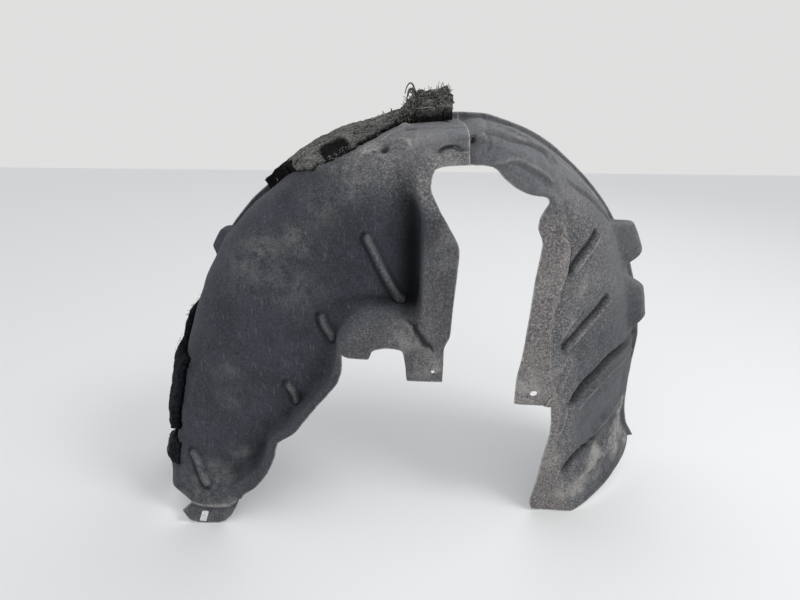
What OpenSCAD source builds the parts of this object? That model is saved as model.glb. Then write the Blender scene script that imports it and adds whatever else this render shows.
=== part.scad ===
// Wheel arch liner, moulded from needle felt, standing on its two leg ends as in the photo.
// X runs to the right, Y runs back towards the outside of the car, Z is up, all in millimetres.
// The sheet is drawn as a set of section lines. Each line runs from the outboard rim, over the tread
// and the side panel, across a fold, to the cut inner edge, and the lines follow each other round the arch.

/* [Whole liner] */
// Width over the two legs
width = 836; // [700:1:950]
// Height of the crown above the floor
height = 615; // [500:1:720]
// Depth from the tongue back to the outboard rim
depth = 207; // [170:1:260]
// Thickness of the felt sheet
sheet = 3.5; // [2.5:0.1:5]

/* [Rim and folds] */
// Width of the turned-out flange along the outboard rim
flange = 10; // [6:0.5:16]
// How far the lip along the left leg stands in front of the panel
lip = 24; // [16:0.5:30]
// How far the tongue stands in front of the panel
tongue = 42; // [32:0.5:50]
// How far the flat strip beside the opening stands in front of the panel
strip = 30; // [20:0.5:36]
// Length of sheet of the right half that runs under the left half at the seam, in section lines
lap = 0.6; // [0.4:0.1:1]

/* [Beads and bosses] */
// Width of the long pressed beads
bead_width = 15; // [10:0.5:20]
// Height of the long pressed beads
bead_height = 6; // [4:0.5:9]
// Height of the upper boss on the right tread
boss_upper = 34; // [20:1:40]
// Height of the lower boss on the right tread
boss_lower = 22; // [14:1:30]
// Height of the boss on the left tread
boss_left = 20; // [12:1:28]

/* [Holes] */
// Diameter of the screw hole in the tongue
tongue_hole = 6.6; // [5:0.1:9]
// Diameter of the clip hole in the right tab
tab_hole = 11; // [8:0.1:13]
// Height over the two small holes beside the seam
slot_height = 16; // [12:1:20]
// Diameter of the two small holes beside the seam
slot_width = 4.6; // [3:0.2:5.4]

/* [Felt pads] */
// Thickness of the frayed pad on top
top_pad_thick = 17; // [12:0.5:22]
// Thickness of the lower pad on the left tread
low_pad_thick = 20; // [12:0.5:24]
// Thickness of the upper pad on the left tread
high_pad_thick = 14; // [10:0.5:18]
// Thickness of the wad of foam at the left heel
wad_thick = 14; // [8:0.5:18]
// Gap left for glue under pads, wad and label
seat = 0.3; // [0.2:0.05:0.5]

/* [Hidden] */

// The section lines are drawn for a liner of these sizes and stretched to the sizes asked for above.
kx = width / 836;
ky = depth / 207;
kz = height / 615;
rim_y = 105;
back = -60;

// One section line each: cut edge x and z, fold x and z, rim x and z, how far the band between fold and
// edge stands in front, how far the panel dips before the fold, squareness of the shoulder, depth of the
// panel, width of the fold wall.
lines = [
  // left heel and lip
  [-298,  45, -312,  47, -424,   0, 0, 0, 5.0, back - 24, 6],
  [-290,  56, -304,  72, -430,  38, lip - 4, 2, 6.0, back - 6, 8],
  [-265,  73, -280,  90, -430,  72, lip, 3, 6.0, back - 2, 8],
  [-240,  95, -258, 108, -422, 106, lip, 4, 5.4, back, 8],
  [-228, 122, -247, 130, -412, 138, lip, 4, 4.8, back, 8],
  [-221, 148, -237, 160, -409, 170, lip, 4, 4.6, back, 8],
  [-197, 165, -212, 180, -405, 198, lip, 4, 4.4, back, 8],
  [-178, 189, -193, 203, -400, 225, lip, 4, 4.4, back, 8],
  [-159, 214, -174, 226, -396, 250, lip, 4, 4.4, back, 8],
  [-140, 237, -156, 248, -391, 275, lip, 4, 4.4, back, 8],
  [-126, 258, -143, 268, -385, 298, lip, 4, 4.4, back, 8],
  [-121, 280, -137, 290, -378, 320, lip + 2, 4, 4.4, back, 9],
  // tongue with its notch and its end tab
  [-120, 303, -130, 322, -370, 342, tongue - 8, 4, 4.4, back, 12],
  [-108, 302, -120, 345, -361, 362, tongue, 5, 4.4, back, 16],
  [ -84, 301, -104, 364, -352, 382, tongue, 6, 4.4, back, 18],
  [ -76, 314,  -84, 371, -341, 401, tongue, 6, 4.4, back, 18],
  [ -56, 318,  -62, 372, -329, 420, tongue, 8, 4.4, back, 16],
  [ -37, 314,  -42, 370, -315, 438, tongue, 12, 4.4, back, 14],
  [ -32, 292,  -28, 366, -303, 453, tongue, 16, 4.4, back, 12],
  [ -29, 269,  -18, 366, -290, 468, tongue, 20, 4.4, back, 10],
  [  20, 267,  -15, 378, -275, 484, tongue, 22, 4.4, back, 8],
  // flat strip beside the opening
  [  21, 312,  -14, 396, -260, 497, strip + 6, 24, 4.4, back, 7],
  [  29, 334,  -14, 418, -243, 510, strip + 2, 24, 4.4, back, 6],
  [  31, 371,  -14, 440, -222, 527, strip, 24, 4.4, back, 6],
  [  34, 412,  -14, 462, -200, 543, strip, 24, 4.4, back, 6],
  [  36, 450,  -15, 484, -176, 559, strip, 22, 4.4, back, 7],
  [  22, 482,  -20, 506, -150, 573, strip - 2, 18, 4.2, back, 9],
  [   8, 506,  -28, 524, -122, 586, strip - 8, 12, 4.0, back, 14],
  [  -2, 530,  -34, 545,  -92, 594, strip / 2 - 1, 5, 3.6, back, 16],
  [   4, 551,  -14, 570,  -60, 604, 5, 0, 3.0, back + 2, 16],
  [  22, 554,   10, 582,  -26, 610, 0, 0, 2.5, back + 5, 16],
  // crown, where the two halves meet
  [  48, 555,   46, 588,   46, 615, 0, 0, 2.2, back + 8, 16],
  [  64, 555,   68, 584,   80, 614, 0, 0, 2.2, back + 8, 16],
  [  79, 552,   90, 575,  116, 605, 2, 0, 2.1, back + 8, 16],
  [  92, 540,  112, 562,  152, 592, 4, 0, 2.0, back + 8, 16],
  [ 111, 526,  135, 545,  187, 573, 5, 0, 1.9, back + 8, 14],
  [ 129, 519,  150, 532,  217, 550, 6, 0, 1.8, back + 8, 12],
  [ 148, 516,  166, 520,  245, 526, 6, 0, 1.7, back + 8, 12],
  // right side of the opening
  [ 153, 509,  175, 508,  264, 507, 6, 0, 1.6, back + 8, 12],
  [ 144, 490,  182, 490,  287, 481, 6, 0, 1.5, back + 9, 12],
  [ 142, 476,  186, 470,  304, 457, 8, 2, 1.45, back + 10, 12],
  [ 150, 452,  190, 448,  320, 432, 10, 3, 1.4, back + 11, 10],
  [ 147, 419,  191, 424,  335, 403, 10, 3, 1.35, back + 12, 10],
  [ 145, 388,  188, 400,  348, 372, 9, 2, 1.3, back + 12, 10],
  [ 144, 358,  184, 370,  359, 340, 8, 0, 1.3, back + 12, 10],
  [ 142, 320,  181, 330,  368, 306, 6, 0, 1.3, back + 11, 10],
  [ 139, 281,  183, 290,  376, 272, 5, 0, 1.3, back + 10, 10],
  [ 134, 240,  190, 250,  380, 240, 5, 0, 1.3, back + 10, 10],
  // right tab and its notch
  [ 134, 205,  197, 225,  379, 212, 5, 0, 1.3, back + 10, 10],
  [ 179, 201,  204, 208,  378, 190, 5, 0, 1.3, back + 10, 10],
  [ 186, 213,  208, 196,  378, 170, 5, 0, 1.3, back + 10, 10],
  [ 191, 197,  210, 180,  378, 150, 5, 0, 1.3, back + 10, 10],
  // right leg down to the floor
  [ 194, 160,  208, 150,  379, 125, 5, 0, 1.3, back + 9, 10],
  [ 188, 111,  212, 110,  381, 100, 4, 0, 1.3, back + 8, 10],
  [ 181,  53,  225,  60,  388,  70, 2, 0, 1.3, back + 6, 10],
  [ 176,  18,  240,  15,  402,  45, 0, 0, 1.3, back + 5, 10],
  [ 180,   3,  246,   0,  406,  38, 0, 0, 1.3, back + 5, 10]
];
seam = 31;
last = len(lines) - 1;

// Places along a section line: 0 is the rim, flange_end the foot of the flange, dome_end the fold,
// wall_end the top of the fold wall and 1 the cut edge. The heel is cut off slanting, so its end rises
// by heel_slant section lines where it goes round the shoulder.
flange_end = 0.04;
dome_end = 0.70;
wall_end = 0.80;
heel_slant = 0.85;
across = concat([0], [for (k = [0:11]) flange_end + (dome_end - flange_end) * k / 11],
  [0.733, 0.767, wall_end], [0.87, 0.94, 1]);

// Value between two neighbours that never swings past them, so corners stay corners.
function slope(a, b) = a * b <= 0 ? 0 : 2 * a * b / (a + b);
function limit(t, lo, top) = min(max(t, lo), top);
function ease(t) = let (c = limit(t, 0, 1)) c * c * (3 - 2 * c);
function line_at(u) = let (c = limit(u, 0, last), i = min(floor(c), last - 1), f = c - i)
  [for (k = [0:10]) let (
    a = lines[i][k], b = lines[i + 1][k], d = b - a,
    ma = i > 0 ? slope(a - lines[i - 1][k], d) : d,
    mb = i + 2 <= last ? slope(d, lines[i + 2][k] - b) : d)
    (2 * f^3 - 3 * f^2 + 1) * a + (f^3 - 2 * f^2 + f) * ma + (3 * f^2 - 2 * f^3) * b + (f^3 - f^2) * mb];

// Point at place v on the section line g. The dome is a squared-off ellipse from the rim to the fold.
function on_line(g, v) = let (
  out = norm([g[4] - g[2], g[5] - g[3]]), ox = (g[4] - g[2]) / out, oz = (g[5] - g[3]) / out,
  inn = norm([g[0] - g[2], g[1] - g[3]]), ix = (g[0] - g[2]) / inn, iz = (g[1] - g[3]) / inn,
  a = 90 * limit((v - flange_end) / (dome_end - flange_end), 0, 1),
  q = (abs(cos(a))^g[8] + abs(sin(a))^g[8])^(1 / g[8]),
  r = (out - flange) * cos(a) / q + flange * limit(1 - v / flange_end, 0, 1),
  w = limit((v - dome_end) / (wall_end - dome_end), 0, 1),
  b = limit((v - wall_end) / (1 - wall_end), 0, 1),
  wall = min(g[10], 0.6 * inn),
  s = w * wall + b * (inn - wall),
  y = rim_y - (rim_y - g[9]) * sin(a) / q + g[7] * exp(-((r / 28)^2)) - (g[6] + g[7]) * ease(w))
  [kx * (g[2] + ox * r + ix * s), ky * y, kz * (g[3] + oz * r + iz * s)];

// Point and outward direction at line u, place v.
function skin(u, v) = let (
  du = on_line(line_at(u + 0.004), v) - on_line(line_at(u - 0.004), v),
  dv = on_line(line_at(u), v + 0.002) - on_line(line_at(u), v - 0.002),
  n = cross(dv, du))
  [on_line(line_at(u), v), n / norm(n)];
function heel_cut(u, v) = u + heel_slant * max(0, 1 - u / 2)
  * ease((v - 0.08) / 0.22) * (1 - ease((v - 0.38) / 0.17));
function skins(us, vs) = [for (u = us) [for (v = vs) skin(heel_cut(u, v), v)]];

// Closed sheet over the lines us and the places vs, from height bottom[i][j] to top[i][j] above the skin.
module blanket(us, vs, bottom, top) {
  s = skins(us, vs);
  m = len(us) - 1;
  n = len(vs) - 1;
  function id(k, i, j) = (k * (m + 1) + i) * (n + 1) + j;
  points = [for (k = [0, 1]) for (i = [0:m]) for (j = [0:n])
    s[i][j][0] + (k == 0 ? bottom[i][j] : top[i][j]) * s[i][j][1]];
  faces = concat(
    [for (i = [0:m - 1]) for (j = [0:n - 1]) each [
      [id(0, i, j), id(0, i + 1, j + 1), id(0, i + 1, j)],
      [id(0, i, j), id(0, i, j + 1), id(0, i + 1, j + 1)],
      [id(1, i, j), id(1, i + 1, j), id(1, i + 1, j + 1)],
      [id(1, i, j), id(1, i + 1, j + 1), id(1, i, j + 1)]]],
    [for (i = [0:m - 1]) each [
      [id(0, i, 0), id(0, i + 1, 0), id(1, i + 1, 0)], [id(0, i, 0), id(1, i + 1, 0), id(1, i, 0)],
      [id(0, i, n), id(1, i + 1, n), id(0, i + 1, n)], [id(0, i, n), id(1, i, n), id(1, i + 1, n)]]],
    [for (j = [0:n - 1]) each [
      [id(0, 0, j), id(1, 0, j + 1), id(0, 0, j + 1)], [id(0, 0, j), id(1, 0, j), id(1, 0, j + 1)],
      [id(0, m, j), id(0, m, j + 1), id(1, m, j + 1)], [id(0, m, j), id(1, m, j + 1), id(1, m, j)]]]);
  polyhedron(points, faces, convexity = 12);
}

// Blanket of one thickness laid on the skin, for pads.
module pad(us, vs, thick) {
  blanket(us, vs, [for (u = us) [for (v = vs) seat]], [for (u = us) [for (v = vs) seat + thick]]);
}

// Rounded boss pressed outwards between two lines and two places, sunk a little into the sheet.
module boss(u0, u1, v0, v1, high) {
  us = [for (k = [0:6]) u0 + (u1 - u0) * k / 6];
  vs = [for (k = [0:4]) v0 + (v1 - v0) * k / 4];
  swell = [for (i = [0:6]) [for (j = [0:4]) ease(min(i, 6 - i) / 1.7) * ease(min(j, 4 - j) / 1.3)]];
  blanket(us, vs, [for (u = us) [for (v = vs) -2]],
    [for (a = swell) [for (b = a) -0.6 + (high + 0.6) * b]]);
}

// Long pressed bead with rounded ends, through a row of [line, place] spots on the skin.
module bead(way, wide = bead_width, high = bead_height) {
  steps = 2 * (len(way) - 1);
  arc = 5;
  sunk = 1.6;
  c = [for (i = [0:steps]) let (
    a = way[floor(i / 2)], b = way[ceil(i / 2)]) skin((a[0] + b[0]) / 2, (a[1] + b[1]) / 2)];
  run = (c[steps][0] - c[0][0]) / norm(c[steps][0] - c[0][0]);
  points = [for (i = [0:steps]) let (
      n = c[i][1], side = cross(n, run) / norm(cross(n, run)),
      e = sqrt(1 - 0.96 * abs(2 * i / steps - 1)^6))
    for (k = [0:arc]) c[i][0] + side * wide / 2 * e * cos(180 * k / arc)
      + n * (high * e * sin(180 * k / arc) - sunk)];
  w = arc + 1;
  polyhedron(points, concat(
    [for (i = [0:steps - 1]) for (k = [0:arc]) let (p = i * w + k, q = i * w + (k + 1) % w)
      each [[p, p + w, q + w], [p, q + w, q]]],
    [[for (k = [0:arc]) k], [for (k = [arc:-1:0]) steps * w + k]]), convexity = 3);
}

// Moves the drawing so that the middle of the outline stands over the origin.
module set_down() {
  translate([12 * kx, -5 * ky, 0]) children();
}

// Left half: panel, heel with its foot plate, lip, tongue and strip.
module left_shell() {
  us = [for (k = [0:2 * seam]) k / 2];
  color("dimgray") set_down() difference() {
    union() {
      blanket(us, across, [for (u = us) [for (v = across) -sheet]], [for (u = us) [for (v = across) 0]]);
      translate([0, (back - 24.4) * ky + sheet, 0]) scale([kx, 1, kz]) rotate([90, 0, 0])
        linear_extrude(sheet)
          polygon([[-380, 23], [-370, 5], [-357, 1], [-345, 0], [-326, 0], [-307, 10], [-296, 28],
            [-290, 44], [-297, 51], [-312, 51], [-345, 44], [-362, 39]]);
      bead([[22.75, 0.55], [21.4, 0.60], [20, 0.64], [18, 0.68]]);
      bead([[13, 0.635], [12.55, 0.653], [12.1, 0.672], [11.7, 0.69]]);
      bead([[8.5, 0.615], [8, 0.64], [7.5, 0.665], [7, 0.69]]);
      bead([[3.1, 0.443], [2.4, 0.483], [1.7, 0.517], [0.95, 0.565]]);
      boss(15.3, 17.6, 0.05, 0.19, boss_left);
    }
    translate([6 * kx, (back - tongue) * ky, 283 * kz]) rotate([90, 0, 0])
      cylinder(d = tongue_hole, h = 40, center = true);
  }
}

// Right half: crown lap, strip with its tab, creased panel and flared leg.
module right_shell() {
  us = concat([seam - lap, seam - lap / 2, seam, seam + 0.15, seam + 0.4, seam + 0.7],
    [for (k = [2 * seam + 2:2 * last]) k / 2]);
  under = [for (u = us) -(sheet + seat) * (1 - ease((u - seam - 0.05) / 0.5))];
  color("gray") set_down() difference() {
    union() {
      blanket(us, across, [for (i = [0:len(us) - 1]) [for (v = across) under[i] - sheet]],
        [for (i = [0:len(us) - 1]) [for (v = across) under[i]]]);
      bead([[42.3, 0.67], [41.7, 0.645], [40.95, 0.60], [40.45, 0.53]]);
      bead([[46.15, 0.665], [45.55, 0.60], [44.9, 0.505], [44.3, 0.37]]);
      bead([[50.2, 0.655], [48.6, 0.54], [47.6, 0.39], [47.2, 0.20]], bead_width + 3, bead_height + 1);
      bead([[53.9, 0.69], [53.75, 0.64], [53.6, 0.59], [53.4, 0.53]], bead_width + 1);
      boss(39.9, 42.4, 0.045, 0.19, boss_upper);
      boss(43.2, 46.2, 0.045, 0.17, boss_lower);
    }
    translate([162 * kx, (back + 5) * ky, 222 * kz]) rotate([90, 0, 0])
      cylinder(d = tab_hole, h = 40, center = true);
    translate([53.7 * kx, (back + 10) * ky, 586 * kz]) rotate([90, 0, 0]) for (k = [-1, 1])
      translate([0, k * (slot_height - slot_width) / 2, 0]) cylinder(d = slot_width, h = 60, center = true);
  }
}

// Frayed felt pad glued over the left shoulder and the crown. It is squeezed thin at its left end, its
// torn right end curls up off the sheet, and its front edge is cut to a ragged line.
module top_pad() {
  us = [for (k = [45:61]) k / 2];
  vs = [for (k = [2:7]) across[k]];
  lift = [for (u = us) 18 * ease((u - 28.2) / 2.3)];
  thick = [for (u = us) top_pad_thick * (0.55 + 0.45 * ease((u - 22) / 3))];
  color("darkslategray") set_down() difference() {
    blanket(us, vs, [for (i = [0:len(us) - 1]) [for (v = vs) seat + lift[i]]],
      [for (i = [0:len(us) - 1]) [for (v = vs) seat + 1.2 * lift[i] + thick[i]]]);
    scale([kx, 1, kz]) rotate([90, 0, 0]) linear_extrude(400, center = true)
      polygon([[-300, 400], [-252, 500], [-222, 521], [-186, 538], [-153, 541], [-118, 552], [-105, 571],
        [-78, 585], [-45, 597], [-20, 601], [60, 604], [60, 400]]);
  }
}

// Two felt pads and a wad of foam glued on the tread of the left leg.
module side_pad_upper() {
  color("black") set_down() pad([for (k = [18:22]) k / 2], [for (k = [2:4]) across[k]], high_pad_thick);
}
module side_pad_lower() {
  color("black") set_down() pad([for (k = [8:17]) k / 2], [for (k = [2:6]) across[k]], low_pad_thick);
}
module foam_wad() {
  us = [2, 2.5, 3, 3.5];
  vs = [for (k = [4:7]) across[k]];
  color("black") set_down() blanket(us, vs, [for (u = us) [for (v = vs) seat]],
    [for (i = [0:3]) [for (j = [0:3]) wad_thick * (i % 3 == 0 || j % 3 == 0 ? 0.45 : 1)]]);
}

// Bare paper label on the foot plate.
module label() {
  color("white") set_down() translate([-349 * kx, (back - 24.4) * ky - seat, 16 * kz])
    rotate([90, 0, 0]) rotate([0, 0, -8]) linear_extrude(0.5) square([15, 13], center = true);
}

left_shell();
right_shell();
top_pad();
side_pad_upper();
side_pad_lower();
foam_wad();
label();
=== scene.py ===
import math
import bpy
import numpy as np
from mathutils import Matrix, Vector


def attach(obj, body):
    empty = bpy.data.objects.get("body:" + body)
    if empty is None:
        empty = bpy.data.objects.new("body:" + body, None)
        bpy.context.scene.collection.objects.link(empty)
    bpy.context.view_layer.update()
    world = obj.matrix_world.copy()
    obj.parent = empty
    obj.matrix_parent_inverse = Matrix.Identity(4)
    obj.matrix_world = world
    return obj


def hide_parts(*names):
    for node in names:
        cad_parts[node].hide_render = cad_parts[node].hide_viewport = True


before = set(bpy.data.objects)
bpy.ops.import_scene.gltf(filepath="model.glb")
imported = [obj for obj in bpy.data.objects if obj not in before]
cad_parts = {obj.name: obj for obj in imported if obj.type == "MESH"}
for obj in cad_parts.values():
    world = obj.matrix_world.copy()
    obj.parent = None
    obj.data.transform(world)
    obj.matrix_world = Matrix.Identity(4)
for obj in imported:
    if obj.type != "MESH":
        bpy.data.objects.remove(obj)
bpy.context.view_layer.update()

# ---------------------------------------------------------------- camera and stage
# The photo was taken with a phone held level with the crown, looking down at a liner that stands on a
# pale floor in front of a pale wall. The stage is a plain pale floor under soft studio light.
eye = Vector((-0.028, -0.750, 0.640))
look_down = math.radians(21.3)
roll = math.radians(0.6)
photo_width_px, focal_px, sensor_mm = 800, 530, 36

camera_data = bpy.data.cameras.new("camera")
camera_data.sensor_width = sensor_mm
camera_data.lens = sensor_mm * focal_px / photo_width_px
camera = bpy.data.objects.new("camera", camera_data)
bpy.context.scene.collection.objects.link(camera)
camera.matrix_world = (Matrix.Translation(eye) @ Matrix.Rotation(math.pi / 2 - look_down, 4, "X")
                       @ Matrix.Rotation(roll, 4, "Z"))
bpy.context.scene.camera = camera

floor_half = 4.0
floor_mesh = bpy.data.meshes.new("floor")
floor_mesh.from_pydata([(-floor_half, -floor_half, 0), (floor_half, -floor_half, 0),
                        (floor_half, floor_half, 0), (-floor_half, floor_half, 0)], [], [(0, 1, 2, 3)])
floor = bpy.data.objects.new("floor", floor_mesh)
bpy.context.scene.collection.objects.link(floor)
floor_paint = bpy.data.materials.new("floor_paint")
floor_paint.use_nodes = True
floor_bsdf = floor_paint.node_tree.nodes["Principled BSDF"]
floor_bsdf.inputs["Base Color"].default_value = (0.83, 0.83, 0.815, 1)
floor_bsdf.inputs["Roughness"].default_value = 0.6
floor_mesh.materials.append(floor_paint)

world = bpy.data.worlds.new("studio")
bpy.context.scene.world = world
world.use_nodes = True
sky = world.node_tree
sky.nodes.clear()
sky_out = sky.nodes.new("ShaderNodeOutputWorld")
sky_mix = sky.nodes.new("ShaderNodeMixShader")
rays = sky.nodes.new("ShaderNodeLightPath")
for socket, colour, strength in ((1, (0.93, 0.95, 1.0, 1), 0.80),       # what lights the object
                                 (2, (0.74, 0.745, 0.735, 1), 1.0)):    # what is seen
    part = sky.nodes.new("ShaderNodeBackground")
    part.inputs["Color"].default_value = colour
    part.inputs["Strength"].default_value = strength
    sky.links.new(part.outputs[0], sky_mix.inputs[socket])
seen = rays.outputs["Is Camera Ray"]
for ray in ("Is Glossy Ray", "Is Transmission Ray"):
    either = sky.nodes.new("ShaderNodeMath")
    either.operation = "MAXIMUM"
    sky.links.new(seen, either.inputs[0])
    sky.links.new(rays.outputs[ray], either.inputs[1])
    seen = either.outputs[0]
sky.links.new(seen, sky_mix.inputs["Fac"])
sky.links.new(sky_mix.outputs[0], sky_out.inputs["Surface"])

aim = Vector((0.0, 0.0, 0.32))
for light_name, place, watts, size, tint in (
        ("key", (1.1, -0.5, 1.9), 14, 0.6, (1.0, 0.99, 0.97)),
        ("fill", (-1.8, -1.8, 1.4), 3, 1.8, (0.92, 0.95, 1.0)),
        ("back", (0.9, 1.9, 2.0), 6, 1.6, (0.95, 0.97, 1.0))):
    light_data = bpy.data.lights.new(light_name, "AREA")
    light_data.energy, light_data.size, light_data.color = watts, size, tint
    light = bpy.data.objects.new(light_name, light_data)
    light.location = place
    light.rotation_euler = (aim - Vector(place)).to_track_quat("-Z", "Y").to_euler()
    bpy.context.scene.collection.objects.link(light)
bpy.context.scene.view_settings.view_transform = "Standard"

# ---------------------------------------------------------------- the moulded sheet, in two halves
# The real liner is two sheets of grey needle felt, pressed hot into shape and lapped at the crown.
# It is drawn in the CAD model's section lines, in millimetres and at a much finer spacing, with the left
# rim up to 7 mm further in. Beads, dimples and creases are added along the sheet's outward direction.
MM = 0.001
line_mm, place_mm = 28, 520                 # about how far one line and one whole place run on the skin
shift = np.array([12.0, -5.0, 0.0])         # from the drawing to the frame: outline's middle over the origin
sheet = 3.5                                 # thickness of the felt
flange = 10.0                               # turned-out flange along the outboard rim
rim_y, back = 105.0, -60.0                  # depth of the rim and of the left panel
lip, tongue, strip = 24.0, 42.0, 30.0       # how far these stand in front of the panel
flange_end, dome_end, wall_end = 0.04, 0.70, 0.80
seam = 31                                   # the line where the halves meet
lap, seat = 0.6, 0.3                        # overlap in lines, and the gap in it in mm
tongue_hole, tab_hole = 3.3, 5.5            # radii of the two holes

# cut edge x z, fold x z, rim x z, band in front, dip before the fold, squareness,
# panel's depth past `back`, wall width
lines = np.array([
    [-287, 43, -312, 47, -424, 0, 0, 0, 5.0, -24, 6],
    [-280, 53, -304, 72, -430, 38, lip - 4, 2, 6.0, -6, 8],
    [-259, 70, -280, 90, -430, 72, lip, 3, 6.0, -2, 8],
    [-240, 95, -258, 108, -422, 106, lip, 4, 5.4, 0, 8],
    [-228, 122, -247, 130, -412, 138, lip, 4, 4.8, 0, 8],
    [-221, 148, -237, 160, -409, 170, lip, 4, 4.6, 0, 8],
    [-197, 165, -212, 180, -405, 198, lip, 4, 4.4, 0, 8],
    [-178, 189, -193, 203, -400, 225, lip, 4, 4.4, 0, 8],
    [-159, 214, -174, 226, -394, 250, lip, 4, 4.4, 0, 8],
    [-140, 237, -156, 248, -387, 275, lip, 4, 4.4, 0, 8],
    [-126, 258, -143, 268, -379, 298, lip, 4, 4.4, 0, 8],
    [-121, 280, -137, 290, -371, 320, lip + 2, 4, 4.4, 0, 9],
    [-120, 303, -130, 322, -363, 342, tongue - 8, 4, 4.4, 0, 12],
    [-108, 302, -120, 345, -354, 362, tongue, 5, 4.4, 0, 16],
    [-84, 301, -104, 364, -346, 382, tongue, 6, 4.4, 0, 18],
    [-76, 314, -84, 371, -336, 401, tongue, 6, 4.4, 0, 18],
    [-56, 318, -62, 372, -326, 420, tongue, 8, 4.4, 0, 16],
    [-37, 314, -42, 370, -315, 438, tongue, 12, 4.4, 0, 14],
    [-32, 292, -28, 366, -303, 453, tongue, 16, 4.4, 0, 12],
    [-29, 269, -18, 366, -290, 468, tongue, 20, 4.4, 0, 10],
    [20, 267, -15, 378, -275, 484, tongue, 22, 4.4, 0, 8],
    [21, 312, -14, 396, -260, 497, strip + 6, 24, 4.4, 0, 7],
    [29, 334, -14, 418, -243, 510, strip + 2, 24, 4.4, 0, 6],
    [31, 371, -14, 440, -222, 527, strip, 24, 4.4, 0, 6],
    [34, 412, -14, 462, -200, 543, strip, 24, 4.4, 0, 6],
    [36, 450, -15, 484, -176, 559, strip, 22, 4.4, 0, 7],
    [22, 482, -20, 506, -150, 573, strip - 2, 18, 4.2, 0, 9],
    [8, 506, -28, 524, -122, 586, strip - 8, 12, 4.0, 0, 14],
    [-2, 530, -34, 545, -92, 594, strip / 2 - 1, 5, 3.6, 0, 16],
    [4, 551, -14, 570, -60, 604, 5, 0, 3.0, 2, 16],
    [22, 554, 10, 582, -26, 610, 0, 0, 2.5, 5, 16],
    [48, 555, 46, 588, 46, 615, 0, 0, 2.2, 8, 16],
    [64, 555, 68, 584, 80, 614, 0, 0, 2.2, 8, 16],
    [79, 552, 90, 575, 116, 605, 2, 0, 2.1, 8, 16],
    [92, 540, 112, 562, 152, 592, 4, 0, 2.0, 8, 16],
    [111, 526, 135, 545, 187, 573, 5, 0, 1.9, 8, 14],
    [129, 519, 150, 532, 217, 550, 6, 0, 1.8, 8, 12],
    [148, 516, 166, 520, 245, 526, 6, 0, 1.7, 8, 12],
    [153, 509, 175, 508, 264, 507, 6, 0, 1.6, 8, 12],
    [144, 490, 182, 490, 287, 481, 6, 0, 1.5, 9, 12],
    [142, 476, 186, 470, 304, 457, 8, 2, 1.45, 10, 12],
    [150, 452, 190, 448, 320, 432, 10, 3, 1.4, 11, 10],
    [147, 419, 191, 424, 335, 403, 10, 3, 1.35, 12, 10],
    [145, 388, 188, 400, 348, 372, 9, 2, 1.3, 12, 10],
    [144, 358, 184, 370, 359, 340, 8, 0, 1.3, 12, 10],
    [142, 320, 181, 330, 368, 306, 6, 0, 1.3, 11, 10],
    [139, 281, 183, 290, 376, 272, 5, 0, 1.3, 10, 10],
    [134, 240, 190, 250, 380, 240, 5, 0, 1.3, 10, 10],
    [134, 205, 197, 225, 379, 212, 5, 0, 1.3, 10, 10],
    [179, 201, 204, 208, 378, 190, 5, 0, 1.3, 10, 10],
    [186, 213, 208, 196, 378, 170, 5, 0, 1.3, 10, 10],
    [191, 197, 210, 180, 378, 150, 5, 0, 1.3, 10, 10],
    [194, 160, 208, 150, 379, 125, 5, 0, 1.3, 9, 10],
    [188, 111, 212, 110, 381, 100, 4, 0, 1.3, 8, 10],
    [181, 53, 225, 60, 388, 70, 2, 0, 1.3, 6, 10],
    [176, 18, 240, 15, 402, 45, 0, 0, 1.3, 5, 10],
    [180, 3, 246, 0, 406, 38, 0, 0, 1.3, 5, 10]], float)
lines[:, 9] += back
last = len(lines) - 1


def ease(t):
    """Smooth step from 0 to 1: t*t*(3 - 2t) with t held between 0 and 1."""
    t = np.clip(t, 0, 1)
    return t * t * (3 - 2 * t)


def line_at(u):
    """Section line number u: cubic through the table, each slope the harmonic mean of its two steps,
    and zero where they turn, so the curve never swings past a corner."""
    steps = np.diff(lines, axis=0)
    both = steps[:-1] + steps[1:]
    slopes = np.zeros_like(lines)
    slopes[0], slopes[-1] = steps[0], steps[-1]
    slopes[1:-1] = np.where(steps[:-1] * steps[1:] <= 0, 0,
                            2 * steps[:-1] * steps[1:] / np.where(both == 0, 1, both))
    u = np.clip(u, 0, last)
    i = np.minimum(u.astype(int), last - 1)
    f = (u - i)[..., None]
    return ((2 * f**3 - 3 * f**2 + 1) * lines[i] + (f**3 - 2 * f**2 + f) * slopes[i]
            + (3 * f**2 - 2 * f**3) * lines[i + 1] + (f**3 - f**2) * slopes[i + 1])


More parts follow.
